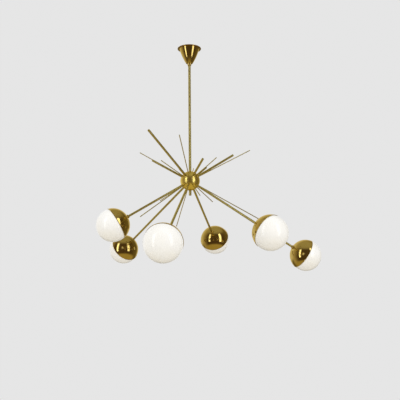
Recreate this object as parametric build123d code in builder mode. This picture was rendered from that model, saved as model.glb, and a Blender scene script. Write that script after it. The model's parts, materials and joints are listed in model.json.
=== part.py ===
from build123d import *
from math import acos, asin, atan2, cos, degrees, hypot, radians, sin, sqrt
import os

# A six-light sputnik chandelier: a ball-shaped hub on a ceiling stem, six arms that each carry a
# bowl-shaped cup with an opal globe, and bare spikes between and above the arms.
#
# Frame: millimetres, +Z up. The origin is on the stem's axis, in the ceiling plane, at the
# centre of the bracket's two slots. +X is the viewer's right and +Y points away from the viewer.
# Azimuth is measured from +X towards +Y. Elevation is measured up from the horizontal.

os.makedirs("parts", exist_ok=True)

# ------------------------------------------------------------------ driving dimensions
# Play and seats
thread_play = 0.10          # radial play of a thread modelled as a plain cylinder
slide_play = 0.30           # radial play of a piece that moves along or in another
seat_gap = 0.04             # left where a flat ring seats on a round wall

# Hub
hub_drop = 637.5            # ceiling to the hub's centre
hub_radius = 45.0
hub_wall = 3.0
hub_lip_height = 5.0        # register ring of the lower half, inside the upper half
hub_lip_wall = 1.5

# Tubes and threaded nipples
stem_radius = 6.0
stem_wall = 0.95
nipple_wall = 1.45
nipple_grip = 13.0          # length of nipple inside a tube's end
wire_window_radius = 2.5    # opening in the hub's nipple where the wires part
arm_radius = 5.0
arm_wall = 1.0
spike_radius = 2.0
spike_tip = 1.0             # bevel at the end of a thin spike
spike_end_wall = 1.5        # closed end of a thick spike
thread_end = 2.0            # thread that stands out past a nut inside the hub

# Nuts inside the hub
arm_nut_flats = 14.0
arm_nut_thickness = 4.0
spike_nut_flats = 7.0
spike_nut_thickness = 3.0

# Finial under the hub
finial_length = 23.5
finial_end_wall = 3.0
finial_bevel = 0.8

# Globe, cup and lampholder, all on the arm's axis
globe_radius = 74.0
globe_wall = 2.5
globe_hole_play = 3.0       # ground opening at the back of the glass to the bulb that passes it
cup_gap = 0.5               # glass to the cup's inside
cup_wall = 0.8
cup_rim_setback = 15.0      # cup's rim to the globe's centre, towards the hub
ring_nut_radius = 8.3
ring_nut_length = 6.0
ring_nut_bevel = 0.8
arm_entry = 8.0             # arm inside the lampholder's base
arm_socket_depth = 9.5
holder_radius = 14.0
holder_base_length = 13.3
holder_skirt_radius = 12.5
holder_skirt_length = 29.0
holder_bore_play = 0.35     # screw shell to the bulb's cap
holder_bore_depth = 21.0
clip_thickness = 0.8
clip_ring_radius = 19.0
clip_leaf_width = 9.0
clip_leaf_back = 8.5        # leaf behind the clip's disc, towards the cup
clip_leaf_front = 3.5       # leaf in front of the disc
clip_leaves = 3
clip_nut_radius = 16.0
clip_nut_length = 4.0

# Bulb: a golf-ball lamp with a small screw cap
bulb_radius = 22.5
bulb_cap_radius = 6.95
bulb_cap_length = 21.0
bulb_contact_radius = 4.0
bulb_contact_length = 2.0
bulb_neck_radius = 7.6
bulb_length = 78.0
bulb_seat_gap = 1.0         # contact to the bottom of the lampholder's bore

# Canopy and its collar
canopy_gap = 1.0            # ceiling to the canopy's rim
canopy_height = 73.0
canopy_rim_width = 8.5
canopy_rim_thickness = 1.5
canopy_top_radius = 47.5
canopy_bottom_radius = 15.5
canopy_swell = 2.8          # how far the side bulges out from a straight cone
canopy_wall = 1.2
collar_length = 12.0
collar_top_wall = 4.2
collar_bottom_wall = 1.3
grub_screw_radius = 1.5
grub_screw_drop = 3.5       # below the collar's top face

# Ceiling bracket, bent from strip
bracket_width = 18.0
bracket_thickness = 2.0
bracket_rise = 12.0         # ceiling to the bridge's upper face
bracket_leg_run = 4.0
bracket_foot_length = 17.0
bracket_corner_play = 1.389 # bracket's corners to the canopy's wall
slot_end_margin = 4.5       # slot to the foot's end
slot_width = 4.5
slot_length = 9.0
hanger_nut_flats = 17.0
hanger_nut_thickness = 5.0
nipple_above_nut = 2.0

# Terminal block and earth screw on the bracket
block_length = 24.0
block_width = 12.0
block_height = 12.0
block_nut_gap = 2.7         # block to the hanger nut's corners
block_ways = 3
wire_way_radius = 1.9
terminal_screw_radius = 1.6
terminal_screw_length = 3.0
terminal_screw_inset = 3.0
terminal_screw_recess = 0.6
screw_shank_radius = 1.5
screw_head_radius = 2.8
screw_head_height = 2.0
block_screw_depth = 8.0
earth_nut_gap = 3.7         # earth screw's head to the hanger nut's corners
earth_screw_radius = 2.0
earth_head_radius = 4.0
earth_head_height = 2.8
earth_shank_up = 7.0

# Hub centre to each globe's centre
arm_1_reach = 412.0
arm_2_reach = 600.0
arm_3_reach = 612.0
arm_4_reach = 490.0
arm_5_reach = 508.0
arm_6_reach = 661.0

# Arms: azimuth, angle below the horizontal, hub centre to globe centre
arms = [
    (195.7, 30.7, arm_1_reach),
    (132.2, 29.9, arm_2_reach),
    (259.1, 30.4, arm_3_reach),
    (72.0, 31.1, arm_4_reach),
    (318.2, 30.9, arm_5_reach),
    (12.6, 31.4, arm_6_reach),
]

# Hub centre to each thick spike's tip
thick_1_reach = 353.0
thick_2_reach = 157.0
thick_3_reach = 234.0
thick_4_reach = 166.0
thick_5_reach = 155.0
thick_6_reach = 205.0

# Thick spikes above the arms: azimuth, elevation, hub centre to tip
thick_spikes = [
    (235.0, 30.5, thick_1_reach),
    (295.0, 30.5, thick_2_reach),
    (357.0, 30.5, thick_3_reach),
    (57.0, 30.5, thick_4_reach),
    (112.0, 30.5, thick_5_reach),
    (173.0, 29.8, thick_6_reach),
]

# Hub centre to the tips of the thin spikes below the arms, short and long in turn, and above them
short_spike = 171.0
long_spike = 368.0
upper_1_reach = 343.0
upper_2_reach = 168.0
upper_3_reach = 357.0
upper_4_reach = 169.0
upper_5_reach = 308.0
upper_6_reach = 179.0

# Thin spikes: azimuth, elevation, hub centre to tip
spike_fall = -30.5
lower_thin_spikes = [
    (43.0, spike_fall, short_spike),
    (103.0, spike_fall, long_spike),
    (163.0, spike_fall, short_spike),
    (229.0, spike_fall, long_spike),
    (287.0, spike_fall, short_spike),
    (345.0, spike_fall, long_spike),
]
upper_thin_spikes = [
    (17.0, 28.1, upper_1_reach),
    (83.3, 30.0, upper_2_reach),
    (143.0, 29.0, upper_3_reach),
    (206.6, 30.0, upper_4_reach),
    (260.5, 30.0, upper_5_reach),
    (320.0, 30.0, upper_6_reach),
]


# ------------------------------------------------------------------ geometry helpers
def seat(radius, edge):
    """Distance from a sphere's centre to the circle of radius edge on its wall."""
    return sqrt(radius**2 - edge**2)


def outward(azimuth, elevation):
    """Unit vector from the hub along a rod."""
    level = cos(radians(elevation))
    return Vector(level * cos(radians(azimuth)), level * sin(radians(azimuth)), sin(radians(elevation)))


def sideways(azimuth):
    """Level unit vector at right angles to a rod."""
    return Vector(-sin(radians(azimuth)), cos(radians(azimuth)), 0)


def along_plane(azimuth, elevation, distance=0.0):
    """Plane through a rod's axis: local X is the radius and local Y runs outwards."""
    out = outward(azimuth, elevation)
    side = sideways(azimuth)
    return Plane(origin=hub_centre + out * distance, x_dir=side, z_dir=side.cross(out))


def across_plane(azimuth, elevation, distance=0.0):
    """Plane square to a rod, facing outwards, at a distance from the hub's centre."""
    out = outward(azimuth, elevation)
    return Plane(origin=hub_centre + out * distance, x_dir=sideways(azimuth), z_dir=out)


def rod_axis(azimuth, elevation):
    """Axis of a rod, for turned pieces."""
    return Axis(hub_centre, outward(azimuth, elevation))


# ------------------------------------------------------------------ derived places
hub_centre = Vector(0, 0, -hub_drop)
hub_inside = hub_radius - hub_wall
stem_bore_radius = stem_radius - stem_wall
nipple_radius = stem_bore_radius - thread_play
nipple_bore_radius = nipple_radius - nipple_wall
nipple_hole_radius = nipple_radius + thread_play
arm_bore_radius = arm_radius - arm_wall
arm_hole_radius = arm_radius + thread_play
spike_hole_radius = spike_radius + thread_play
pole_seat = seat(hub_radius, stem_bore_radius) + seat_gap

bracket_half_length = seat(canopy_top_radius - canopy_wall - bracket_corner_play, bracket_width / 2)
bracket_bridge_half = bracket_half_length - bracket_foot_length - bracket_leg_run
slot_spacing = 2 * (bracket_half_length - slot_end_margin) - slot_length
hanger_nut_corner = hanger_nut_flats / sqrt(3)
block_from_axis = hanger_nut_corner + block_nut_gap + block_width / 2
earth_screw_from_axis = hanger_nut_corner + earth_nut_gap + earth_head_radius
bridge_top = -bracket_rise
bridge_bottom = bridge_top - bracket_thickness
stem_top = bridge_bottom - hanger_nut_thickness
stem_bottom = pole_seat - hub_drop
finial_top = -pole_seat - hub_drop

arm_nut_face = seat(hub_inside, arm_nut_flats / sqrt(3)) - seat_gap
spike_nut_face = seat(hub_inside, spike_nut_flats / sqrt(3)) - seat_gap
arm_start = arm_nut_face - arm_nut_thickness - thread_end
spike_start = spike_nut_face - spike_nut_thickness - thread_end

cup_inside = globe_radius + cup_gap
cup_radius = cup_inside + cup_wall
globe_inside = globe_radius - globe_wall
globe_hole_radius = bulb_radius + globe_hole_play
holder_bore_radius = bulb_cap_radius + holder_bore_play
globe_cut = seat(globe_inside, globe_hole_radius)
holder_back = seat(cup_inside, holder_radius) - seat_gap
holder_shoulder = holder_back - holder_base_length
holder_mouth = holder_shoulder - holder_skirt_length
clip_face = holder_shoulder - clip_thickness
clip_reach = globe_hole_radius - slide_play
ring_nut_face = seat(cup_radius, arm_hole_radius) + seat_gap
bulb_end = holder_mouth + holder_bore_depth - bulb_seat_gap
bulb_tip = bulb_length - bulb_end
bulb_centre = bulb_tip - bulb_radius

canopy_top = -canopy_gap
canopy_bottom = canopy_top - canopy_height
canopy_rim_radius = canopy_top_radius + canopy_rim_width
collar_bore_radius = stem_radius + slide_play
collar_top_radius = collar_bore_radius + collar_top_wall
collar_bottom_radius = collar_bore_radius + collar_bottom_wall


# ------------------------------------------------------------------ ceiling bracket and hanger
with BuildPart() as ceiling_bracket:
    with BuildSketch(Plane.XZ) as bracket_section:
        with BuildLine() as bracket_outline:
            Polyline(
                (0, bridge_top),
                (bracket_bridge_half, bridge_top),
                (bracket_bridge_half + bracket_leg_run, 0),
                (bracket_half_length, 0),
                (bracket_half_length, -bracket_thickness),
                (bracket_bridge_half + bracket_leg_run + bracket_thickness, -bracket_thickness),
                (bracket_bridge_half + bracket_thickness, bridge_bottom),
                (0, bridge_bottom),
                close=True,
            )
        make_face()
        mirror(about=Plane.YZ)
    extrude(amount=bracket_width / 2, both=True)
    with BuildSketch(Plane.XY.offset(bridge_bottom)) as bridge_holes:
        Circle(nipple_hole_radius)
        with Locations((block_from_axis, 0)):
            Circle(screw_shank_radius + thread_play)
        with Locations((-earth_screw_from_axis, 0)):
            Circle(earth_screw_radius + thread_play)
    extrude(amount=bracket_thickness, mode=Mode.SUBTRACT)
    with BuildSketch(Plane.XY.offset(-bracket_thickness)) as foot_slots:
        with GridLocations(slot_spacing, 0, 2, 1):
            SlotOverall(slot_length, slot_width)
    extrude(amount=bracket_thickness, mode=Mode.SUBTRACT)
ceiling_bracket.part.label = "ceiling_bracket"
export_step(ceiling_bracket.part, "parts/ceiling_bracket.step")

nipple_top = bridge_top + hanger_nut_thickness + nipple_above_nut
with BuildPart() as hanger_nipple:
    with BuildSketch(Plane.XY.offset(stem_top - nipple_grip)) as hanger_nipple_ring:
        Circle(nipple_radius)
        Circle(nipple_bore_radius, mode=Mode.SUBTRACT)
    extrude(amount=nipple_top - stem_top + nipple_grip)
hanger_nipple.part.label = "hanger_nipple"
export_step(hanger_nipple.part, "parts/hanger_nipple.step")

with BuildPart() as hanger_nuts:
    for nut_bottom in (bridge_top, stem_top):
        with BuildSketch(Plane.XY.offset(nut_bottom)) as hanger_nut:
            RegularPolygon(hanger_nut_flats / 2, 6, major_radius=False)
            Circle(nipple_hole_radius, mode=Mode.SUBTRACT)
        extrude(amount=hanger_nut_thickness)
hanger_nuts.part.label = "hanger_nuts"
export_step(hanger_nuts.part, "parts/hanger_nuts.step")

with BuildPart() as earth_screw:
    with BuildSketch(Plane.XY.offset(bridge_bottom - earth_head_height)) as earth_head:
        with Locations((-earth_screw_from_axis, 0)):
            Circle(earth_head_radius)
    extrude(amount=earth_head_height)
    with BuildSketch(Plane.XY.offset(bridge_bottom)) as earth_shank:
        with Locations((-earth_screw_from_axis, 0)):
            Circle(earth_screw_radius)
    extrude(amount=earth_shank_up)
earth_screw.part.label = "earth_screw"
export_step(earth_screw.part, "parts/earth_screw.step")


# ------------------------------------------------------------------ terminal block
block_bottom = bridge_bottom - block_height
way_pitch = block_length / block_ways
way_height = bridge_bottom - block_height / 2
screw_row = block_width / 2 - terminal_screw_inset
screw_well_radius = terminal_screw_radius + thread_play
block_centre_line = Plane.XY.offset(block_bottom)
with BuildPart() as terminal_block:
    with BuildSketch(block_centre_line) as block_foot:
        with Locations((block_from_axis, 0)):
            Rectangle(block_width, block_length)
    extrude(amount=block_height)
    with BuildSketch(Plane.YZ.offset(block_from_axis - block_width / 2)) as wire_ways:
        with Locations((0, way_height)):
            with GridLocations(way_pitch, 0, block_ways, 1):
                Circle(wire_way_radius)
    extrude(amount=block_width, mode=Mode.SUBTRACT)
    with BuildSketch(block_centre_line) as screw_wells:
        with Locations((block_from_axis, 0)):
            with GridLocations(2 * screw_row, way_pitch, 2, block_ways):
                Circle(screw_well_radius)
    extrude(amount=terminal_screw_recess + terminal_screw_length, mode=Mode.SUBTRACT)
    with BuildSketch(Plane.XY.offset(bridge_bottom)) as fixing_well:
        with Locations((block_from_axis, 0)):
            Circle(screw_shank_radius + thread_play)
    extrude(amount=-block_screw_depth, mode=Mode.SUBTRACT)
terminal_block.part.label = "terminal_block"
export_step(terminal_block.part, "parts/terminal_block.step")

with BuildPart() as terminal_screws:
    with BuildSketch(Plane.XY.offset(block_bottom + terminal_screw_recess)) as screw_rows:
        with Locations((block_from_axis, 0)):
            with GridLocations(2 * screw_row, way_pitch, 2, block_ways):
                Circle(terminal_screw_radius)
    extrude(amount=terminal_screw_length)
terminal_screws.part.label = "terminal_screws"
export_step(terminal_screws.part, "parts/terminal_screws.step")

with BuildPart() as block_screw:
    with BuildSketch(Plane.XY.offset(bridge_top)) as block_screw_head:
        with Locations((block_from_axis, 0)):
            Circle(screw_head_radius)
    extrude(amount=screw_head_height)
    with BuildSketch(Plane.XY.offset(bridge_top)) as block_screw_shank:
        with Locations((block_from_axis, 0)):
            Circle(screw_shank_radius)
    extrude(amount=bridge_bottom - block_screw_depth + seat_gap - bridge_top)
block_screw.part.label = "block_screw"
export_step(block_screw.part, "parts/block_screw.step")


# ------------------------------------------------------------------ canopy, collar and grub screw
with BuildPart() as canopy:
    with BuildSketch(Plane.XZ) as canopy_section:
        with BuildLine() as canopy_outline:
            Line((0, canopy_top), (canopy_top_radius, canopy_top))
            SagittaArc(
                (canopy_top_radius, canopy_top),
                (canopy_bottom_radius, canopy_bottom),
                canopy_swell,
            )
            Line((canopy_bottom_radius, canopy_bottom), (0, canopy_bottom))
            Line((0, canopy_bottom), (0, canopy_top))
        make_face()
    revolve(axis=Axis.Z)
    open_face = canopy.faces().filter_by(Axis.Z).sort_by(Axis.Z)[-1]
    offset(amount=-canopy_wall, openings=open_face)
    with BuildSketch(Plane.XY.offset(canopy_top)) as canopy_rim:
        Circle(canopy_rim_radius)
        Circle(canopy_top_radius - canopy_wall / 2, mode=Mode.SUBTRACT)
    extrude(amount=-canopy_rim_thickness)
    with BuildSketch(Plane.XY.offset(canopy_bottom)) as canopy_neck:
        Circle(collar_bore_radius)
    extrude(amount=canopy_wall, mode=Mode.SUBTRACT)
canopy.part.label = "canopy"
export_step(canopy.part, "parts/canopy.step")

grub_screw_height = canopy_bottom - grub_screw_drop
collar_slope = (collar_top_radius - collar_bottom_radius) / collar_length
grub_screw_reach = collar_top_radius - collar_slope * (grub_screw_drop + grub_screw_radius)
with BuildPart() as canopy_collar:
    with BuildSketch(Plane.XZ) as collar_section:
        with BuildLine() as collar_outline:
            Polyline(
                (collar_bore_radius, canopy_bottom),
                (collar_top_radius, canopy_bottom),
                (collar_bottom_radius, canopy_bottom - collar_length),
                (collar_bore_radius, canopy_bottom - collar_length),
                close=True,
            )
        make_face()
    revolve(axis=Axis.Z)
    with BuildSketch(Plane.XZ) as grub_screw_hole:
        with Locations((0, grub_screw_height)):
            Circle(grub_screw_radius + thread_play)
    extrude(amount=-collar_top_radius, mode=Mode.SUBTRACT)
canopy_collar.part.label = "canopy_collar"
export_step(canopy_collar.part, "parts/canopy_collar.step")

with BuildPart() as canopy_grub_screw:
    with BuildSketch(Plane.XZ.offset(-collar_bore_radius)) as grub_screw_end:
        with Locations((0, grub_screw_height)):
            Circle(grub_screw_radius)
    extrude(amount=collar_bore_radius - grub_screw_reach)
canopy_grub_screw.part.label = "canopy_grub_screw"
export_step(canopy_grub_screw.part, "parts/canopy_grub_screw.step")


# ------------------------------------------------------------------ stem, hub and finial
with BuildPart() as stem:
    with BuildSketch(Plane.XY.offset(stem_bottom)) as stem_ring:
        Circle(stem_radius)
        Circle(stem_bore_radius, mode=Mode.SUBTRACT)
    extrude(amount=stem_top - stem_bottom)
stem.part.label = "stem"
export_step(stem.part, "parts/stem.step")

lip_radius = seat(hub_inside, hub_lip_height) - thread_play
# Each half of the hub is a bowl with the nipple's hole at its pole and one hole for each rod.
halves = {
    "hub_upper": (1, [(thick_spikes, arm_hole_radius), (upper_thin_spikes, spike_hole_radius)]),
    "hub_lower": (-1, [
        ([(azimuth, -droop, reach) for azimuth, droop, reach in arms], arm_hole_radius),
        (lower_thin_spikes, spike_hole_radius),
    ]),
}
for half_name, (side, drillings) in halves.items():
    with BuildPart() as hub_half:
        with BuildSketch(Plane.XZ.shift_origin(hub_centre)) as hub_section:
            with BuildLine() as hub_outline:
                outer_arc = CenterArc((0, 0), hub_radius, 0, 90 * side)
                inner_arc = CenterArc((0, 0), hub_inside, 0, 90 * side)
                Line(outer_arc @ 0, inner_arc @ 0)
                Line(outer_arc @ 1, inner_arc @ 1)
            make_face()
        revolve(axis=Axis.Z)
        if side < 0:
            with BuildSketch(Plane.XY.offset(-hub_drop)) as lip_root:
                Circle(hub_inside + hub_wall / 2)
                Circle(lip_radius - hub_lip_wall, mode=Mode.SUBTRACT)
            extrude(amount=-hub_lip_height)
            with BuildSketch(Plane.XY.offset(-hub_drop)) as lip_ring:
                Circle(lip_radius)
                Circle(lip_radius - hub_lip_wall, mode=Mode.SUBTRACT)
            extrude(amount=hub_lip_height)
        with BuildSketch(Plane.XY.offset(-hub_drop)) as pole_hole:
            Circle(nipple_hole_radius)
        extrude(amount=side * hub_radius, mode=Mode.SUBTRACT)
        for rods, hole_radius in drillings:
            for azimuth, elevation, reach in rods:
                with BuildSketch(across_plane(azimuth, elevation)) as rod_hole:
                    Circle(hole_radius)
                extrude(amount=hub_radius, mode=Mode.SUBTRACT)
    hub_half.part.label = half_name
    export_step(hub_half.part, f"parts/{half_name}.step")

with BuildPart() as hub_nipple:
    with BuildSketch(Plane.XY.offset(finial_top - nipple_grip)) as hub_nipple_ring:
        Circle(nipple_radius)
        Circle(nipple_bore_radius, mode=Mode.SUBTRACT)
    extrude(amount=stem_bottom - finial_top + 2 * nipple_grip)
    with BuildSketch(Plane.XZ.shift_origin(hub_centre)) as wire_window:
        Circle(wire_window_radius)
    extrude(amount=nipple_radius, both=True, mode=Mode.SUBTRACT)
hub_nipple.part.label = "hub_nipple"
export_step(hub_nipple.part, "parts/hub_nipple.step")

with BuildPart() as hub_finial:
    with BuildSketch(Plane.XY.offset(finial_top)) as finial_disc:
        Circle(stem_radius)
    extrude(amount=-finial_length)
    finial_rim = hub_finial.faces().sort_by(Axis.Z)[0].edges()
    chamfer(finial_rim, finial_bevel)
    with BuildSketch(Plane.XY.offset(finial_top)) as finial_bore:
        Circle(stem_bore_radius)
    extrude(amount=finial_end_wall - finial_length, mode=Mode.SUBTRACT)
hub_finial.part.label = "hub_finial"
export_step(hub_finial.part, "parts/hub_finial.step")

thick_rods = thick_spikes + [(azimuth, -droop, reach) for azimuth, droop, reach in arms]
with BuildPart() as arm_nuts:
    for azimuth, elevation, reach in thick_rods:
        with BuildSketch(across_plane(azimuth, elevation, arm_nut_face)) as arm_nut:
            RegularPolygon(arm_nut_flats / 2, 6, major_radius=False)
            Circle(arm_hole_radius, mode=Mode.SUBTRACT)
        extrude(amount=-arm_nut_thickness)
arm_nuts.part.label = "arm_nuts"
export_step(arm_nuts.part, "parts/arm_nuts.step")

with BuildPart() as spike_nuts:
    for azimuth, elevation, reach in upper_thin_spikes + lower_thin_spikes:
        with BuildSketch(across_plane(azimuth, elevation, spike_nut_face)) as spike_nut:
            RegularPolygon(spike_nut_flats / 2, 6, major_radius=False)
            Circle(spike_hole_radius, mode=Mode.SUBTRACT)
        extrude(amount=-spike_nut_thickness)
spike_nuts.part.label = "spike_nuts"
export_step(spike_nuts.part, "parts/spike_nuts.step")


# ------------------------------------------------------------------ spikes
for number, (azimuth, elevation, reach) in enumerate(thick_spikes, start=1):
    with BuildPart() as thick_spike:
        with BuildSketch(across_plane(azimuth, elevation, arm_start)) as thick_spike_disc:
            Circle(arm_radius)
        extrude(amount=reach - arm_start)
        with BuildSketch(across_plane(azimuth, elevation, arm_start)) as thick_spike_bore:
            Circle(arm_bore_radius)
        extrude(amount=reach - arm_start - spike_end_wall, mode=Mode.SUBTRACT)
    thick_spike.part.label = f"thick_spike_{number}"
    export_step(thick_spike.part, f"parts/thick_spike_{number}.step")

for group_name, group in (("upper_thin_spikes", upper_thin_spikes), ("lower_thin_spikes", lower_thin_spikes)):
    with BuildPart() as thin_spikes:
        for azimuth, elevation, reach in group:
            with BuildSketch(along_plane(azimuth, elevation)) as thin_spike_section:
                with BuildLine() as thin_spike_outline:
                    Polyline(
                        (0, spike_start),
                        (spike_radius, spike_start),
                        (spike_radius, reach - spike_tip),
                        (spike_radius - spike_tip, reach),
                        (0, reach),
                        close=True,
                    )
                make_face()
            revolve(axis=rod_axis(azimuth, elevation))
    thin_spikes.part.label = group_name
    export_step(thin_spikes.part, f"parts/{group_name}.step")


# ------------------------------------------------------------------ arms, cups, lampholders, bulbs, globes
leaf_turn = 360 / clip_leaves
bulb_neck_back = bulb_end - bulb_contact_length - bulb_cap_length
bulb_neck_line = hypot(bulb_neck_radius, bulb_centre + bulb_neck_back)
bulb_neck_turn = degrees(atan2(-bulb_centre - bulb_neck_back, bulb_neck_radius))
bulb_tangent = bulb_neck_turn + degrees(acos(bulb_radius / bulb_neck_line))
cup_start = -degrees(acos(arm_hole_radius / cup_radius))
cup_end = -degrees(asin(cup_rim_setback / cup_radius))
cup_inner_start = -degrees(acos(arm_hole_radius / cup_inside))
cup_inner_end = -degrees(asin(cup_rim_setback / cup_inside))
globe_start = -degrees(asin(globe_cut / globe_radius))
globe_inner_start = -degrees(asin(globe_cut / globe_inside))

for number, (azimuth, droop, reach) in enumerate(arms, start=1):
    turned = along_plane(azimuth, -droop, reach)
    axis = rod_axis(azimuth, -droop)

    with BuildPart() as arm:
        with BuildSketch(across_plane(azimuth, -droop, arm_start)) as arm_ring:
            Circle(arm_radius)
            Circle(arm_bore_radius, mode=Mode.SUBTRACT)
        extrude(amount=reach - holder_back + arm_entry - arm_start)
    arm.part.label = f"arm_{number}"
    export_step(arm.part, f"parts/arm_{number}.step")

    with BuildPart() as cup:
        with BuildSketch(turned) as cup_section:
            with BuildLine() as cup_outline:
                cup_outer = CenterArc((0, 0), cup_radius, cup_start, cup_end - cup_start)
                cup_inner = CenterArc((0, 0), cup_inside, cup_inner_start, cup_inner_end - cup_inner_start)
                Line(cup_outer @ 0, cup_inner @ 0)
                Line(cup_outer @ 1, cup_inner @ 1)
            make_face()
        revolve(axis=axis)
    cup.part.label = f"cup_{number}"
    export_step(cup.part, f"parts/cup_{number}.step")

    with BuildPart() as lampholder:
        with BuildSketch(turned) as lampholder_section:
            with BuildLine() as lampholder_outline:
                Polyline(
                    (arm_hole_radius, -holder_back),
                    (holder_radius, -holder_back),
                    (holder_radius, -holder_shoulder),
                    (holder_skirt_radius, -holder_shoulder),
                    (holder_skirt_radius, -holder_mouth),
                    (holder_bore_radius, -holder_mouth),
                    (holder_bore_radius, -holder_mouth - holder_bore_depth),
                    (0, -holder_mouth - holder_bore_depth),
                    (0, -holder_back + arm_socket_depth),
                    (arm_hole_radius, -holder_back + arm_socket_depth),
                    close=True,
                )
            make_face()
        revolve(axis=axis)
    lampholder.part.label = f"lampholder_{number}"
    export_step(lampholder.part, f"parts/lampholder_{number}.step")

    with BuildPart() as bulb:
        with BuildSketch(turned) as bulb_section:
            with BuildLine() as bulb_outline:
                bulb_ball = CenterArc((0, bulb_centre), bulb_radius, bulb_tangent, 90 - bulb_tangent)
                Polyline(
                    bulb_ball @ 0,
                    (bulb_neck_radius, -bulb_neck_back),
                    (bulb_cap_radius, -bulb_neck_back),
                    (bulb_cap_radius, -bulb_end + bulb_contact_length),
                    (bulb_contact_radius, -bulb_end),
                    (0, -bulb_end),
                    bulb_ball @ 1,
                )
            make_face()
        revolve(axis=axis)
    bulb.part.label = f"bulb_{number}"
    export_step(bulb.part, f"parts/bulb_{number}.step")

    with BuildPart() as globe:
        with BuildSketch(turned) as globe_section:
            with BuildLine() as globe_outline:
                glass_outer = CenterArc((0, 0), globe_radius, globe_start, 90 - globe_start)
                glass_inner = CenterArc((0, 0), globe_inside, globe_inner_start, 90 - globe_inner_start)
                Line(glass_outer @ 0, glass_inner @ 0)
                Line(glass_outer @ 1, glass_inner @ 1)
            make_face()
        revolve(axis=axis)
    globe.part.label = f"globe_{number}"
    export_step(globe.part, f"parts/globe_{number}.step")

# Ring nuts outside the cups, one on each arm.
with BuildPart() as cup_ring_nuts:
    for azimuth, droop, reach in arms:
        with BuildSketch(along_plane(azimuth, -droop, reach)) as ring_nut_section:
            with BuildLine() as ring_nut_outline:
                Polyline(
                    (arm_hole_radius, -ring_nut_face),
                    (ring_nut_radius - ring_nut_bevel, -ring_nut_face),
                    (ring_nut_radius, -ring_nut_face - ring_nut_bevel),
                    (ring_nut_radius, -ring_nut_face - ring_nut_length + ring_nut_bevel),
                    (ring_nut_radius - ring_nut_bevel, -ring_nut_face - ring_nut_length),
                    (arm_hole_radius, -ring_nut_face - ring_nut_length),
                    close=True,
                )
            make_face()
        revolve(axis=rod_axis(azimuth, -droop))
cup_ring_nuts.part.label = "cup_ring_nuts"
export_step(cup_ring_nuts.part, "parts/cup_ring_nuts.step")

# Spring clips: a disc on the lampholder's shoulder with leaves that hold the glass by its opening.
skirt_hole_radius = holder_skirt_radius + thread_play
leaf_length = clip_leaf_back + clip_leaf_front
with BuildPart() as globe_clips:
    for azimuth, droop, reach in arms:
        with BuildSketch(across_plane(azimuth, -droop, reach - holder_shoulder)) as clip_disc:
            Circle(clip_ring_radius)
            with PolarLocations(0, clip_leaves):
                with Locations((clip_reach / 2, 0)):
                    Rectangle(clip_reach, clip_leaf_width)
            Circle(clip_reach, mode=Mode.INTERSECT)
            Circle(skirt_hole_radius, mode=Mode.SUBTRACT)
        extrude(amount=clip_thickness)
        with BuildSketch(across_plane(azimuth, -droop, reach - holder_shoulder - clip_leaf_back)) as clip_leaf:
            with PolarLocations(0, clip_leaves):
                with Locations((clip_reach / 2, 0)):
                    Rectangle(clip_reach, clip_leaf_width)
            Circle(clip_reach, mode=Mode.INTERSECT)
            Circle(clip_reach - clip_thickness, mode=Mode.SUBTRACT)
        extrude(amount=leaf_length)
globe_clips.part.label = "globe_clips"
export_step(globe_clips.part, "parts/globe_clips.step")

with BuildPart() as clip_nuts:
    for azimuth, droop, reach in arms:
        with BuildSketch(across_plane(azimuth, -droop, reach - clip_face)) as clip_nut:
            Circle(clip_nut_radius)
            Circle(skirt_hole_radius, mode=Mode.SUBTRACT)
        extrude(amount=clip_nut_length)
clip_nuts.part.label = "clip_nuts"
export_step(clip_nuts.part, "parts/clip_nuts.step")
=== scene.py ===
"""Looks of a sputnik chandelier: polished brass cups, rods and hub, opal globes, and inner fittings."""
import json
from math import acos, asin, cos, hypot, pi, radians, sin, sqrt

import bmesh
import bpy
from bpy.props import FloatProperty, FloatVectorProperty, IntProperty, PointerProperty
from mathutils import Matrix, Vector


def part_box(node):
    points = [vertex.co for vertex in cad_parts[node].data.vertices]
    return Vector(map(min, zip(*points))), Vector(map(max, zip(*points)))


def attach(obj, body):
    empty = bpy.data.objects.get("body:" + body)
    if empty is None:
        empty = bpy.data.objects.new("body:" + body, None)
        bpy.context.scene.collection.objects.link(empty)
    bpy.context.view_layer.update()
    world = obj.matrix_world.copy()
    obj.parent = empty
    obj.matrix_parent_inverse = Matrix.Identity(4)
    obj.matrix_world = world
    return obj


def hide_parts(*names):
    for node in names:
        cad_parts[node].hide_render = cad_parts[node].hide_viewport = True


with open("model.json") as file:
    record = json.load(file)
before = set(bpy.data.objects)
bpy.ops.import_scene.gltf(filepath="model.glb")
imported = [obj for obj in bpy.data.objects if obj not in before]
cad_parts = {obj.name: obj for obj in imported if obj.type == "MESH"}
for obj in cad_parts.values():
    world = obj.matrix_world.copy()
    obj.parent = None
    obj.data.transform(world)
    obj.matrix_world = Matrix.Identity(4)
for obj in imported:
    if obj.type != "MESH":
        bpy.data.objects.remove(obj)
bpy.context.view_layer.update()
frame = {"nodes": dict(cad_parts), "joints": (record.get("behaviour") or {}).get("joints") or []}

bl_info = {
    "name": "Sputnik Chandelier",
    "version": (1, 0, 0),
    "blender": (4, 5, 0),
    "location": "3D View > Sidebar > Chandelier",
    "description": "Dresses a sputnik chandelier's frame in brass, opal glass and its inner fittings",
    "category": "Add Mesh",
}

nodes = frame["nodes"]

# Each bulb's hinge gives its globe's centre and the direction in which its arm points.
globe_places = {
    joint["child"].split("_")[1]: (Vector(joint["pos_m"]), Vector(joint["axis"]).normalized())
    for joint in frame["joints"] if joint["name"].endswith("_unscrew")
}
numbers = sorted(globe_places)
hub_centre = Vector((0, 0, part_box("hub_upper")[0].z))

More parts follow.
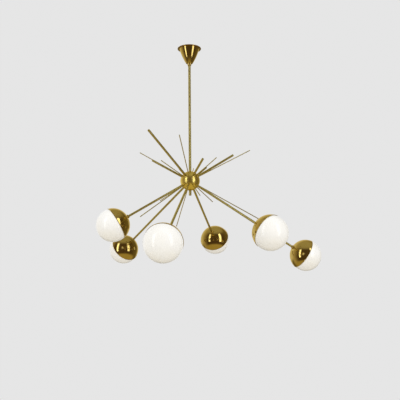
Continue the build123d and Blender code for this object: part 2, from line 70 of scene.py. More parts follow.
# Bare spikes: azimuth and elevation in degrees, hub centre to tip in metres.
thick_spikes = [
    (235.0, 30.5, 0.353), (295.0, 30.5, 0.157), (357.0, 30.5, 0.234),
    (57.0, 30.5, 0.166), (112.0, 30.5, 0.155), (173.0, 29.8, 0.205),
]
lower_thin_spikes = [
    (43.0, -30.5, 0.171), (103.0, -30.5, 0.368), (163.0, -30.5, 0.171),
    (229.0, -30.5, 0.368), (287.0, -30.5, 0.171), (345.0, -30.5, 0.368),
]
upper_thin_spikes = [
    (17.0, 28.1, 0.343), (83.3, 30.0, 0.168), (143.0, 29.0, 0.357),
    (206.6, 30.0, 0.169), (260.5, 30.0, 0.308), (320.0, 30.0, 0.179),
]

# Where the rods start and end, in metres.
arm_foot = 0.0351           # hub's centre to the inner end of an arm or thick spike
thin_spike_foot = 0.0368    # hub's centre to the inner end of a thin spike
holder_radius = 0.014       # lampholder's base, on whose edge the cup rests
arm_entry = 0.010           # arm's end, past that edge towards the globe
arm_play = 0.0001           # arm to the hole of the cup or ring nut

# The bulb, in metres along the arm's line from the globe's centre; behind it is negative.
bulb_ball_place = 0.00467
bulb_neck_end = (0.0066, -0.02783)      # radius and place where the glass goes into the cap
bulb_neck_bend = (0.0098, -0.0165)      # corner that the neck's curve bends towards
bulb_shoulder = radians(-38)            # where the ball goes over into the neck
cap_mouth = -0.0279
cap_end = -0.0508
cap_corners = [                         # radius, place and softness, from the mouth to the contact
    (0.0069, cap_mouth, 0.0004), (0.0069, -0.0305, 0.0006), (0.0064, -0.0318, 0.0006),
    (0.0064, -0.0462, 0.0006), (0.0058, -0.0472, 0.0004), (0.0048, -0.04883, 0.0003),
    (0.0040, -0.0502, 0.0004), (0.0026, cap_end, 0.0004),
]
thread_start = -0.0459
thread_turns = 4.5
thread_radius = 0.00643
thread_ridge = 0.0005

# How finely round pieces are divided: sides go round their line, steps along their section.
globe_sides, globe_steps = 112, 60
cup_sides, cup_steps = 112, 56
nut_sides, rib_sides = 72, 8
canopy_sides, canopy_steps = 144, 40
bulb_sides, bulb_steps, bulb_neck_steps = 72, 40, 12
cap_sides, cap_crease = 56, 40          # the cap keeps edges sharper than this many degrees
arm_sides, spike_sides, rod_crease = 40, 24, 50
thread_steps, thread_sides = 36, 10     # in each turn, and round the ridge
floor_sides = 96
on_axis = 1e-6                          # metres within which a section meets its line

# A Mix node's sockets when it mixes colours.
mix_factor, mix_first, mix_second, mix_result = 0, 6, 7, 2

# The studio: the floor, where the viewer stands and looks, and the picture's frame.
floor_height = -2.2
floor_radius = 2.0
floor_fade = (0.9, 1.95)    # radii between which the floor fades away
lamp_middle = Vector((0, 0, -0.72))
viewer_place = Vector((0, -2.554, -1.0395))
viewer_yaw, viewer_tilt, viewer_roll = radians(1.01), radians(6.98), radians(-0.47)
frame_pixels = 400
focal_pixels = 558.7
film_width = 36             # millimetres

# Soft lights: degrees from the viewer round to the right, degrees up, metres away, width and
# height in metres, watts, and whether the metal mirrors it.
soft_lights = {
    "tall_window_right": (46, 12, 4.0, 1.3, 4.8, 43, True),
    "tall_window_left": (-50, 11, 4.0, 0.92, 4.5, 34, True),
    "high_fill": (10, 62, 2.4, 2.2, 2.2, 5, False),
    "back_fill": (170, 35, 2.6, 2.0, 2.0, 9, False),
}

# What the metal and the glass mirror, and the even light on all else.
left_side, right_side = (0.58, 0.48, 0.29), (0.17, 0.13, 0.055)
dark_front = (0.092, 0.058, 0.030)
warm_ground = (0.47, 0.37, 0.14)
pale_top = (0.42, 0.38, 0.25)
backdrop_foot = (0.15, 0.12, 0.06)
backdrop_turn = -0.2        # share of x that shifts the backdrop from straight behind the lamp
soft_from_below, soft_from_above = (0.80, 0.73, 0.60), (0.82, 0.825, 0.84)


# ------------------------------------------------------------------ what a user would change
def length(name, description, default):
    """A length in metres, as one entry of the sidebar."""
    return FloatProperty(name=name, description=description, default=default, unit="LENGTH", precision=5)


def colour(name, description, default):
    """A linear colour, as one entry of the sidebar."""
    return FloatVectorProperty(
        name=name, description=description, default=default, subtype="COLOR", size=3, min=0, max=1)


class ChandelierSizes(bpy.types.PropertyGroup):
    """Sizes of the pieces that are made here."""
    globe_radius: length("Globe radius", "Outside of the opal glass", 0.074)
    globe_wall: length("Globe wall", "Thickness of the opal glass", 0.0025)
    globe_opening: length("Globe opening", "Radius of the ground opening at the back of the glass", 0.0255)
    cup_radius: length("Cup radius", "Outside of the brass cup", 0.0753)
    cup_wall: length("Cup wall", "Thickness of the spun brass", 0.0008)
    cup_setback: length("Cup setback", "Cup's rim to the globe's centre, towards the hub", 0.015)
    cup_bead: length("Cup bead", "Radius of the rolled edge of the cup", 0.0007)
    arm_radius: length("Arm radius", "Outside of the arms and of the thick spikes", 0.005)
    spike_radius: length("Spike radius", "Outside of the thin spikes", 0.002)
    tip_bevel: length("Tip bevel", "Rounding at a rod's end", 0.0009)
    nut_radius: length("Ring nut radius", "Outside of the ring nut behind each cup", 0.0083)
    nut_length: length("Ring nut length", "Length of the ring nut along the arm", 0.006)
    nut_ribs: IntProperty(name="Ring nut ribs", description="Ribs round each ring nut", default=36, min=12)
    bulb_radius: length("Bulb radius", "Radius of the bulb's ball", 0.0225)
    thread_pitch: length("Thread pitch", "Rise of the bulb's screw thread in one turn", 0.0028)


class ChandelierFinishes(bpy.types.PropertyGroup):
    """Colours of the metals, glass and studio."""
    spun_brass: colour("Spun brass", "Cups and canopy", (0.64, 0.485, 0.155))
    hub_brass: colour("Hub brass", "The ball", (0.92, 0.74, 0.21))
    rod_brass: colour("Rod brass", "Arms, stem and spikes", (0.60, 0.53, 0.20))
    brass_shade: colour("Brass shade", "Where the polish has dulled", (0.46, 0.35, 0.10))
    opal_white: colour("Opal white", "The globes", (0.93, 0.925, 0.90))
    bulb_white: colour("Bulb white", "Frosted glass of the bulbs", (0.86, 0.85, 0.81))
    insulator_white: colour(
        "Insulator white", "Lampholders, their nut rings and the terminal block", (0.80, 0.79, 0.74))
    zinc: colour("Zinc", "Bracket, screws, nuts and clips", (0.60, 0.61, 0.63))
    background: colour(
        "Background", "What the camera, metal and glass see behind the lamp", (0.79, 0.79, 0.79))
    floor: colour("Floor", "The pale floor", (0.72, 0.70, 0.66))


def sizes():
    """The sizes of this scene."""
    return bpy.context.scene.chandelier_sizes


def finishes():
    """The colours of this scene."""
    return bpy.context.scene.chandelier_finishes


# ------------------------------------------------------------------ materials
class Recipe:
    """A material's node tree under construction."""

    def __init__(self, name):
        self.material = bpy.data.materials.new(name)
        self.material.use_nodes = True
        self.tree = self.material.node_tree
        self.shader = self.tree.nodes["Principled BSDF"]
        self.coords = self.tree.nodes.new("ShaderNodeTexCoord").outputs["Object"]

    def node(self, kind, **inputs):
        """Add a node; each input is a value or the output that feeds it."""
        made = self.tree.nodes.new(kind)
        for key, value in inputs.items():
            socket = made.inputs[key.replace("_", " ")]
            if isinstance(value, bpy.types.NodeSocket):
                self.tree.links.new(value, socket)
            else:
                socket.default_value = value
        return made

    def feed(self, socket, source):
        """Link a source to one of the shader's sockets."""
        self.tree.links.new(source, self.shader.inputs[socket])

    def noise(self, scale, detail, roughness=0.5, one_way=None):
        """A noise texture on the object's own coordinates, or along one value."""
        made = self.node("ShaderNodeTexNoise", Scale=scale, Detail=detail, Roughness=roughness)
        if one_way is not None:
            made.noise_dimensions = "1D"
            self.tree.links.new(one_way, made.inputs["W"])
        else:
            self.tree.links.new(self.coords, made.inputs["Vector"])
        return made.outputs["Fac"]

    def spread(self, source, low, high, to_low, to_high):
        """Spread a narrow range of a texture over a wanted one."""
        made = self.node("ShaderNodeMapRange", Value=source)
        for key, value in zip(("From Min", "From Max", "To Min", "To Max"), (low, high, to_low, to_high)):
            made.inputs[key].default_value = value
        return made.outputs["Result"]

    def blend(self, factor, first, second):
        """Mix two colours by a factor."""
        made = self.tree.nodes.new("ShaderNodeMix")
        made.data_type = "RGBA"
        self.tree.links.new(factor, made.inputs[mix_factor])
        made.inputs[mix_first].default_value = (*first, 1)
        made.inputs[mix_second].default_value = (*second, 1)
        return made.outputs[mix_result]

    def bump(self, height, strength, distance, under=None):
        """Bump from a height, its distance in metres, on top of another bump if there is one."""
        made = self.node("ShaderNodeBump", Height=height, Strength=strength, Distance=distance)
        if under is not None:
            self.tree.links.new(under, made.inputs["Normal"])
        return made.outputs["Normal"]

    def height_above_hub(self):
        """The object's own Z, for rings round the stem's axis."""
        return self.node("ShaderNodeSeparateXYZ", Vector=self.coords).outputs["Z"]

    def along_section(self):
        """Metres along a turned piece's section, from its own map."""
        made = self.tree.nodes.new("ShaderNodeUVMap")
        made.uv_map = "section"
        return self.node("ShaderNodeSeparateXYZ", Vector=made.outputs["UV"]).outputs["Y"]


def polished_brass(name, tone, grain, polish, depth):
    """Lacquered brass: dull drifts in the colour, wiped patches in the gloss, and tool lines."""
    recipe = Recipe(name)
    shader = recipe.shader
    shader.inputs["Metallic"].default_value = 1.0
    edge_tint = (1.0, 0.86, 0.55, 1.0)
    shader.inputs["Specular Tint"].default_value = edge_tint
    drift = recipe.spread(recipe.noise(7.0, 4.0), 0.42, 0.72, 0.0, 0.55)
    recipe.feed("Base Color", recipe.blend(drift, tone, finishes().brass_shade))
    wiped = recipe.noise(38.0, 6.0, 0.62)
    recipe.feed("Roughness", recipe.spread(wiped, 0.35, 0.72, polish, polish + 0.09))
    if grain == "rings of a spun piece":
        lines = recipe.noise(1300.0, 2.0, 0.5, one_way=recipe.along_section())
    elif grain == "rings round the stem":
        lines = recipe.noise(1300.0, 2.0, 0.5, one_way=recipe.height_above_hub())
    else:
        lines = recipe.noise(700.0, 2.0)
    normal = recipe.bump(lines, depth, 0.00004)
    recipe.feed("Normal", recipe.bump(recipe.noise(22.0, 2.0), depth, 0.0008, normal))
    return recipe.material


def opal_glass(name):
    """White flashed glass: a dense even white with faint drifts, under a clear polished skin."""
    recipe = Recipe(name)
    shader = recipe.shader
    cloud = recipe.spread(recipe.noise(14.0, 4.0), 0.35, 0.7, 0.0, 1.0)
    white = finishes().opal_white
    creamy = (white[0] * 0.985, white[1] * 0.972, white[2] * 0.945)
    recipe.feed("Base Color", recipe.blend(cloud, white, creamy))
    recipe.feed("Roughness", recipe.spread(recipe.noise(55.0, 4.0), 0.3, 0.7, 0.16, 0.24))
    recipe.feed("Normal", recipe.bump(recipe.noise(9.0, 1.0), 0.08, 0.002))
    shader.inputs["IOR"].default_value = 1.5
    shader.inputs["Coat Weight"].default_value = 0.2
    shader.inputs["Coat Roughness"].default_value = 0.03
    return recipe.material


def frosted_glass(name):
    """Etched bulb glass: finely grained, with a soft gloss."""
    recipe = Recipe(name)
    white = finishes().bulb_white
    grain = recipe.noise(900.0, 3.0)
    recipe.feed("Base Color", recipe.blend(grain, white, tuple(c * 0.95 for c in white)))
    recipe.feed("Roughness", recipe.spread(grain, 0.3, 0.7, 0.32, 0.44))
    recipe.feed("Normal", recipe.bump(grain, 0.15, 0.0001))
    return recipe.material


def moulded_plastic(name):
    """Heat-proof moulded plastic: a fine orange-peel skin and slight yellowing."""
    recipe = Recipe(name)
    white = finishes().insulator_white
    yellowed = (white[0] * 0.97, white[1] * 0.94, white[2] * 0.84)
    recipe.feed("Base Color", recipe.blend(
        recipe.spread(recipe.noise(60.0, 4.0), 0.4, 0.75, 0.0, 0.7), white, yellowed))
    recipe.feed("Roughness", recipe.spread(recipe.noise(240.0, 3.0), 0.3, 0.7, 0.38, 0.52))
    recipe.feed("Normal", recipe.bump(recipe.noise(1100.0, 2.0), 0.2, 0.00006))
    return recipe.material


def plated_steel(name, polish):
    """Zinc or nickel plate: mottled grey, with small crystals in the gloss."""
    recipe = Recipe(name)
    zinc = finishes().zinc
    bluish = (zinc[0] * 0.82, zinc[1] * 0.86, zinc[2] * 0.93)
    recipe.shader.inputs["Metallic"].default_value = 1.0
    mottle = recipe.spread(recipe.noise(170.0, 5.0, 0.6), 0.35, 0.7, 0.0, 1.0)
    recipe.feed("Base Color", recipe.blend(mottle, zinc, bluish))
    recipe.feed("Roughness", recipe.spread(recipe.noise(420.0, 4.0), 0.3, 0.7, polish, polish + 0.16))
    recipe.feed("Normal", recipe.bump(recipe.noise(800.0, 3.0), 0.12, 0.00005))
    return recipe.material


# Brass: its colour, the maker's tool lines, how dull the wiped places are, and the lines' depth.
brass_kinds = {
    "cup brass": ("spun_brass", "rings of a spun piece", 0.075, 0.03),
    "canopy brass": ("spun_brass", "rings round the stem", 0.075, 0.03),
    "nut brass": ("spun_brass", "rings of a spun piece", 0.10, 0.03),
    "hub brass": ("hub_brass", "rings round the stem", 0.26, 0.03),
    "stem brass": ("rod_brass", "rings round the stem", 0.42, 0.01),
    "arm brass": ("rod_brass", "drawn tube", 0.38, 0.01),
    "spike brass": ("rod_brass", "drawn tube", 0.40, 0.01),
}
steel_polish = {"bracket steel": 0.30, "screw steel": 0.22, "spring steel": 0.16, "cap nickel": 0.14}
pale_kinds = {
    "opal glass": opal_glass, "frosted bulb glass": frosted_glass, "insulator plastic": moulded_plastic,
}
made_materials = {}


def finish_of(key):
    """The material of a finish, made once."""
    name = key.replace(" ", "_")
    if key not in made_materials:
        if key in brass_kinds:
            tone, grain, polish, depth = brass_kinds[key]
            made_materials[key] = polished_brass(name, getattr(finishes(), tone), grain, polish, depth)
        elif key in steel_polish:
            made_materials[key] = plated_steel(name, steel_polish[key])
        else:
            made_materials[key] = pale_kinds[key](name)
    return made_materials[key]


# ------------------------------------------------------------------ turned pieces
def arc(radius, start, end, steps, height=0.0):
    """Section points on a circle round (0, height); angles in radians from the radius direction."""
    return [
        (radius * cos(start + (end - start) * step / steps),
         height + radius * sin(start + (end - start) * step / steps))
        for step in range(steps + 1)
    ]


def softened(corners, steps=4, most=0.45):
    """Round a closed section's (radius, height, softness) corners, by at most a share of each side."""
    points = []
    count = len(corners)
    for index, (x, y, soft) in enumerate(corners):
        if soft <= 0:
            points.append((x, y))
            continue
        here = Vector((x, y))
        before = Vector(corners[index - 1][:2]) - here
        after = Vector(corners[(index + 1) % count][:2]) - here
        first = here + before.normalized() * min(soft, before.length * most)
        last = here + after.normalized() * min(soft, after.length * most)
        for step in range(steps + 1):
            t = step / steps
            points.append(tuple(first * (1 - t) ** 2 + here * 2 * t * (1 - t) + last * t ** 2))
    return points


def turn(shape, section, foot, out, steps):
    """Spin a closed section of (radius, height) points round the line from foot along out, into a bmesh."""
    map_layer = shape.loops.layers.uv.get("section") or shape.loops.layers.uv.new("section")
    side = out.orthogonal().normalized()
    other = out.cross(side)
    spokes = [side * cos(2 * pi * s / steps) + other * sin(2 * pi * s / steps) for s in range(steps)]
    rings, runs, run = [], [], 0.0
    for index, (x, y) in enumerate(section):
        if index:
            run += hypot(x - section[index - 1][0], y - section[index - 1][1])
        runs.append(run)
        centre = foot + out * y
        if x < on_axis:
            rings.append([shape.verts.new(centre)])
        else:
            rings.append([shape.verts.new(centre + spoke * x) for spoke in spokes])
    closing = hypot(section[0][0] - section[-1][0], section[0][1] - section[-1][1])
    for index, ring in enumerate(rings):
        follow = rings[(index + 1) % len(rings)]
        low = runs[index]
        high = runs[index + 1] if index + 1 < len(runs) else low + closing
        if len(ring) == 1 and len(follow) == 1:
            continue
        for s in range(steps):
            t = (s + 1) % steps
            corners = [(ring[s % len(ring)], s, low), (ring[t % len(ring)], s + 1, low),
                       (follow[t % len(follow)], s + 1, high), (follow[s % len(follow)], s, high)]
            kept = []
            for corner in corners:
                if corner[0] not in [k[0] for k in kept]:
                    kept.append(corner)
            face = shape.faces.new([corner[0] for corner in kept])
            face.smooth = True
            for loop, corner in zip(face.loops, kept):
                loop[map_layer].uv = (corner[1] / steps, corner[2])


def in_scene(name, data):
    """A new object, at the origin and linked to the scene."""
    made = bpy.data.objects.new(name, data)
    bpy.context.scene.collection.objects.link(made)
    return made


def finished_piece(name, shape, material, smooth_to=None):
    """Close a bmesh into an object in the frame, with faces outwards."""
    bmesh.ops.recalc_face_normals(shape, faces=shape.faces)
    mesh = bpy.data.meshes.new(name)
    shape.to_mesh(mesh)
    shape.free()
    mesh.materials.append(material)
    if smooth_to is not None:
        mesh.set_sharp_from_angle(angle=radians(smooth_to))
    return in_scene(name, mesh)


def place_on_frame(piece, body, slot, *replaced):
    """Let a piece ride on its body and stand for its nodes; the slot is not used."""
    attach(piece, body)
    if replaced:
        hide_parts(*replaced)


def dress(names, key):
    """Give frame nodes a finish; their meshes stay as they are."""
    for name in names:
        if name not in nodes:
            raise RuntimeError(f"the frame has no node {name}")
        for material_slot in nodes[name].material_slots:
            material_slot.material = finish_of(key)


# ------------------------------------------------------------------ round bars along lines
def empty_tree(name, inputs, output):
    """A Geometry Nodes tree with its named inputs, and the socket that takes its result."""
    tree = bpy.data.node_groups.new(name, "GeometryNodeTree")
    for label, kind in inputs:
        tree.interface.new_socket(label, in_out="INPUT", socket_type="NodeSocket" + kind)
    tree.interface.new_socket(output, in_out="OUTPUT", socket_type="NodeSocketGeometry")
    given = tree.nodes.new("NodeGroupInput").outputs
    return tree, given, tree.nodes.new("NodeGroupOutput").inputs[output]


def link_all(tree, pairs):
    """Link each pair of an output and the input that it feeds."""
    for source, target in pairs:
        tree.links.new(source, target)


def finish_tree(tree, mesh, finish, result):
    """End a tree: smooth shading, real geometry and its finish."""
    smooth = tree.nodes.new("GeometryNodeSetShadeSmooth")
    real = tree.nodes.new("GeometryNodeRealizeInstances")
    coat = tree.nodes.new("GeometryNodeSetMaterial")
    link_all(tree, (
        (mesh, smooth.inputs["Geometry"]),
        (smooth.outputs["Geometry"], real.inputs["Geometry"]),
        (real.outputs["Geometry"], coat.inputs["Geometry"]),
        (finish, coat.inputs["Material"]),
        (coat.outputs["Geometry"], result)))


def bar_tree():
    """Geometry Nodes: every edge line of a mesh becomes a round bar with rounded ends."""
    if "round_bars" in bpy.data.node_groups:
        return bpy.data.node_groups["round_bars"]
    tree, given, result = empty_tree("round_bars", (
        ("Lines", "Geometry"), ("Bar radius", "Float"), ("End rounding", "Float"),
        ("Sides", "Int"), ("Finish", "Material")), "Bars")

    def worked_out(operation, first, second=None):
        """One Math node's result, from numbers or outputs."""
        made = tree.nodes.new("ShaderNodeMath")
        made.operation = operation
        for socket, value in zip(made.inputs, (first, second)):
            if isinstance(value, bpy.types.NodeSocket):
                tree.links.new(value, socket)
            elif value is not None:
                socket.default_value = value
        return made.outputs[0]

    lines = tree.nodes.new("GeometryNodeMeshToCurve")
    along = tree.nodes.new("GeometryNodeSplineParameter").outputs["Length"]
    whole = tree.nodes.new("GeometryNodeSplineLength").outputs["Length"]
    to_end = worked_out("MINIMUM", along, worked_out("SUBTRACT", whole, along))
    near = worked_out("SUBTRACT", 1.0, worked_out("DIVIDE", to_end, given["End rounding"]))
    near = worked_out("MINIMUM", worked_out("MAXIMUM", near, 0.0), 1.0)
    fall = worked_out("SQRT", worked_out("SUBTRACT", 1.0, worked_out("MULTIPLY", near, near)))
    drawn_in = worked_out("MULTIPLY", given["End rounding"], worked_out("SUBTRACT", 1.0, fall))
    radius = worked_out("SUBTRACT", given["Bar radius"], drawn_in)
    ring = tree.nodes.new("GeometryNodeCurvePrimitiveCircle")
    ring.inputs["Radius"].default_value = 1.0
    sweep = tree.nodes.new("GeometryNodeCurveToMesh")
    sweep.inputs["Fill Caps"].default_value = True
    link_all(tree, (
        (given["Lines"], lines.inputs["Mesh"]),
        (given["Sides"], ring.inputs["Resolution"]),
        (lines.outputs["Curve"], sweep.inputs["Curve"]),
        (ring.outputs["Curve"], sweep.inputs["Profile Curve"]),
        (radius, sweep.inputs["Scale"])))
    finish_tree(tree, sweep.outputs["Mesh"], given["Finish"], result)
    return tree


def thread_tree():
    """Geometry Nodes: a round ridge wound on a spiral, as on a lamp's screw cap."""
    if "screw_thread" in bpy.data.node_groups:
        return bpy.data.node_groups["screw_thread"]
    tree, given, result = empty_tree("screw_thread", (
        ("Start", "Geometry"), ("Thread radius", "Float"), ("Turns", "Float"), ("Height", "Float"),
        ("Ridge radius", "Float"), ("Finish", "Material")), "Thread")
    spiral = tree.nodes.new("GeometryNodeCurveSpiral")
    spiral.inputs["Resolution"].default_value = thread_steps
    ridge = tree.nodes.new("GeometryNodeCurvePrimitiveCircle")
    ridge.inputs["Resolution"].default_value = thread_sides
    sweep = tree.nodes.new("GeometryNodeCurveToMesh")
    sweep.inputs["Fill Caps"].default_value = True
    link_all(tree, (
        (given["Turns"], spiral.inputs["Rotations"]),
        (given["Thread radius"], spiral.inputs["Start Radius"]),
        (given["Thread radius"], spiral.inputs["End Radius"]),
        (given["Height"], spiral.inputs["Height"]),
        (given["Ridge radius"], ridge.inputs["Radius"]),
        (spiral.outputs["Curve"], sweep.inputs["Curve"]),
        (ridge.outputs["Curve"], sweep.inputs["Profile Curve"])))
    finish_tree(tree, sweep.outputs["Mesh"], given["Finish"], result)
    return tree


def grown(name, tree, start, values):
    """Run a node tree on a start mesh and keep the result as a plain mesh."""
    carrier = in_scene(name + "_start", start)
    modifier = carrier.modifiers.new("make", "NODES")
    modifier.node_group = tree
    for socket in tree.interface.items_tree:
        if socket.in_out == "INPUT" and socket.name in values:
            modifier[socket.identifier] = values[socket.name]
    bpy.context.view_layer.update()
    seen = carrier.evaluated_get(bpy.context.evaluated_depsgraph_get())
    mesh = bpy.data.meshes.new_from_object(seen)
    carrier.modifiers.remove(modifier)
    bpy.data.objects.remove(carrier)
    if not mesh.vertices:
        raise RuntimeError(f"{name} came out empty")
    mesh.name = name
    return in_scene(name, mesh)


def bars(name, lines, radius, rounding, finish, sides):
    """Round bars with rounded ends along straight lines, each line a pair of points."""
    start = bpy.data.meshes.new(name + "_lines")
    points, edges = [], []
    for near, far in lines:
        run = (far - near).length
        along = (far - near).normalized()
        stops = [rounding * (1 - cos(radians(turned))) for turned in (0, 30, 60, 90)]
        stops += [run - stop for stop in reversed(stops)]
        for index, stop in enumerate(stops):
            if index:
                edges.append((len(points) - 1, len(points)))
            points.append(near + along * stop)
    start.from_pydata(points, edges, [])
    piece = grown(name, bar_tree(), start, {
        "Bar radius": radius, "End rounding": rounding, "Sides": sides, "Finish": finish_of(finish)})
    piece.data.set_sharp_from_angle(angle=radians(rod_crease))
    return piece


def direction(azimuth, elevation):
    """Unit vector of a rod."""
    level = cos(radians(elevation))
    return Vector((level * cos(radians(azimuth)), level * sin(radians(azimuth)), sin(radians(elevation))))


# ------------------------------------------------------------------ operators
class CHANDELIER_OT_opal_globes(bpy.types.Operator):
    """Blow the six opal globes, each with a fire-polished lip at its opening"""
    bl_idname = "chandelier.opal_globes"
    bl_label = "Opal Globes"

    def execute(self, context):
        s = sizes()
        inner = s.globe_radius - s.globe_wall
        cut = sqrt(inner ** 2 - s.globe_opening ** 2)
        outer_start = -asin(cut / s.globe_radius)
        inner_start = -asin(cut / inner)
        outer = arc(s.globe_radius, outer_start, pi / 2, globe_steps)
        hollow = arc(inner, pi / 2, inner_start, globe_steps)
        outer_polish, inner_polish = 0.0011, 0.0008
        lip = softened([
            (*outer[1], 0), (*outer[0], outer_polish), (*hollow[-1], inner_polish), (*hollow[-2], 0)])
        section = outer[1:-1] + [(0.0, s.globe_radius), (0.0, inner)] + hollow[1:-1] + lip[1:-1][::-1]
        for number in numbers:
            centre, out = globe_places[number]
            shape = bmesh.new()
            turn(shape, section, centre, out, globe_sides)
            piece = finished_piece("opal_globe_" + number, shape, finish_of("opal glass"))
            place_on_frame(piece, "globe_" + number, "opal_glass", "globe_" + number)
        return {"FINISHED"}


class CHANDELIER_OT_cups(bpy.types.Operator):
    """Spin the six brass cups, each with a rolled edge and a hole for its arm"""
    bl_idname = "chandelier.cups"
    bl_label = "Brass Cups"

    def execute(self, context):
        s = sizes()
        inner = s.cup_radius - s.cup_wall
        hole = s.arm_radius + arm_play
        rim = -asin(s.cup_setback / s.cup_radius)
        # Angles seen from the globe's centre: the plain wall stops just short of the rolled edge.
        wall_end, bead_turn, bead_start = rim - 0.012, rim - 0.008, rim - radians(70)
        outer = arc(s.cup_radius, -acos(hole / s.cup_radius), wall_end, cup_steps)
        hollow = arc(inner, wall_end, -acos(hole / inner), cup_steps)
        bead_shift = 0.0002
        middle = (s.cup_radius + inner) / 2 + bead_shift
        bead_x, bead_y = middle * cos(bead_turn), middle * sin(bead_turn)
        bead = [
            (bead_x + s.cup_bead * cos(bead_start + radians(turned)),
             bead_y + s.cup_bead * sin(bead_start + radians(turned)))
            for turned in range(0, 241, 20)
        ]
        section = outer + bead + hollow
        for number in numbers:
            centre, out = globe_places[number]
            shape = bmesh.new()
            turn(shape, section, centre, out, cup_sides)
            piece = finished_piece("brass_cup_" + number, shape, finish_of("cup brass"))
            place_on_frame(piece, "lamp", "spun_brass", "cup_" + number)
        return {"FINISHED"}


class CHANDELIER_OT_ring_nuts(bpy.types.Operator):
    """Turn the six ring nuts behind the cups and press fine ribs round them"""
    bl_idname = "chandelier.ring_nuts"
    bl_label = "Ring Nuts"

    def execute(self, context):
        s = sizes()
        hole = s.arm_radius + arm_play
        seat_gap, edge_length, edge_fall = 0.00004, 0.0011, 0.0003
        rib_radius, rib_rounding, rib_inset, rib_height = 0.0004, 0.0003, 0.0012, 0.00025
        face = sqrt(s.cup_radius ** 2 - hole ** 2) + seat_gap
        back = face + s.nut_length
        body = s.nut_radius - rib_height
        section = softened([
            (hole, -face, 0.0), (body - edge_fall, -face, 0.0008), (body, -face - edge_length, 0.0005),
            (body, -back + edge_length, 0.0005), (body - edge_fall, -back, 0.0008), (hole, -back, 0.0003),
        ])
        shape = bmesh.new()
        ribs = []
        for number in numbers:
            centre, out = globe_places[number]
            turn(shape, section, centre, out, nut_sides)
            side = out.orthogonal().normalized()
            other = out.cross(side)
            for rib in range(s.nut_ribs):
                turned = 2 * pi * rib / s.nut_ribs
                spoke = (side * cos(turned) + other * sin(turned)) * (s.nut_radius - rib_radius)
                ribs.append((centre + spoke - out * (face + rib_inset),
                             centre + spoke - out * (back - rib_inset)))
        nuts = finished_piece("ring_nuts", shape, finish_of("nut brass"))
        place_on_frame(nuts, "lamp", "turned_brass", "cup_ring_nuts")
        ridges = bars("ring_nut_ribs", ribs, rib_radius, rib_rounding, "nut brass", rib_sides)
        place_on_frame(ridges, "lamp", "turned_brass")
        return {"FINISHED"}


class CHANDELIER_OT_rods(bpy.types.Operator):
    """Draw the arms and the thick and thin spikes out from the hub"""
    bl_idname = "chandelier.rods"
    bl_label = "Arms and Spikes"

    def execute(self, context):
        s = sizes()
        arm_end = sqrt(s.cup_radius ** 2 - holder_radius ** 2) - arm_entry
        arm_lines = []
        for number in numbers:
            centre, out = globe_places[number]
            arm_lines.append((hub_centre + out * arm_foot, centre - out * arm_end))
        arms = bars("arm_tubes", arm_lines, s.arm_radius, s.tip_bevel, "arm brass", arm_sides)
        place_on_frame(arms, "lamp", "tube_brass", *("arm_" + number for number in numbers))

        def spikes(name, table, radius, foot, finish, slot, replaced, sides):
            """Bars out from the hub, one for each row of a table."""
            lines = [(hub_centre + direction(azimuth, elevation) * foot,
                      hub_centre + direction(azimuth, elevation) * reach)
                     for azimuth, elevation, reach in table]
            place_on_frame(bars(name, lines, radius, s.tip_bevel, finish, sides), "lamp", slot, *replaced)

        spikes("thick_bare_spikes", thick_spikes, s.arm_radius, arm_foot, "arm brass", "tube_brass",
               ["thick_spike_" + number for number in numbers], arm_sides)
        spikes("thin_spikes_above", upper_thin_spikes, s.spike_radius, thin_spike_foot, "spike brass",
               "rod_brass", ["upper_thin_spikes"], spike_sides)
        spikes("thin_spikes_below", lower_thin_spikes, s.spike_radius, thin_spike_foot, "spike brass",
               "rod_brass", ["lower_thin_spikes"], spike_sides)
        return {"FINISHED"}


class CHANDELIER_OT_canopy(bpy.types.Operator):
    """Spin the canopy, a swelled cone with a rolled rim"""
    bl_idname = "chandelier.canopy"
    bl_label = "Canopy"

    def execute(self, context):
        low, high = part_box("canopy")
        top, bottom, rim = high.z, low.z, high.x
        mouth, neck, hole = 0.0475, 0.0155, 0.0063
        wall, swell, rim_thickness = 0.0012, 0.0028, 0.0015
        lean = Vector((mouth - neck, top - bottom)).normalized()
        outwards = Vector((lean.y, -lean.x))

        def side(step, inside=0.0):
            """A point on the cone's swelled side, or that far inside it."""
            t = step / canopy_steps
            at = Vector((mouth, top)).lerp(Vector((neck, bottom)), t)
            return at + outwards * (4 * swell * t * (1 - t) - inside)

        outer = [tuple(side(step)) for step in range(2, canopy_steps - 1)]
        hollow = [tuple(side(step, wall)) for step in range(canopy_steps - 2, 1, -1)]
        rolled_rim = softened([
            (rim, top, 0.0006), (rim, top - rim_thickness, 0.0006),
            (side(1).x + 0.0006, top - rim_thickness, 0.0009),
        ])
        neck_edge = softened([
            (*outer[-1], 0), (neck, bottom, 0.0012), (hole, bottom, 0.0003),
            (hole, bottom + wall, 0.0003), (hollow[0][0] - 0.0004, bottom + wall, 0.0006),
        ])
        section = rolled_rim + outer + neck_edge[1:] + hollow + [(mouth - wall, top)]
        shape = bmesh.new()
        turn(shape, section, Vector((0, 0, 0)), Vector((0, 0, 1)), canopy_sides)
        piece = finished_piece("spun_canopy", shape, finish_of("canopy brass"))
        place_on_frame(piece, "canopy_set", "spun_brass", "canopy")
        dress(["canopy_collar"], "canopy brass")
        dress(["canopy_grub_screw"], "screw steel")
        return {"FINISHED"}


class CHANDELIER_OT_hub_and_stem(bpy.types.Operator):
    """Polish the hub's two halves, the stem and the finial"""
    bl_idname = "chandelier.hub_and_stem"
    bl_label = "Hub and Stem"

    def execute(self, context):
        dress(["hub_upper", "hub_lower"], "hub brass")
        dress(["stem", "hub_finial"], "stem brass")
        dress(["hub_nipple", "arm_nuts", "spike_nuts"], "screw steel")
        return {"FINISHED"}


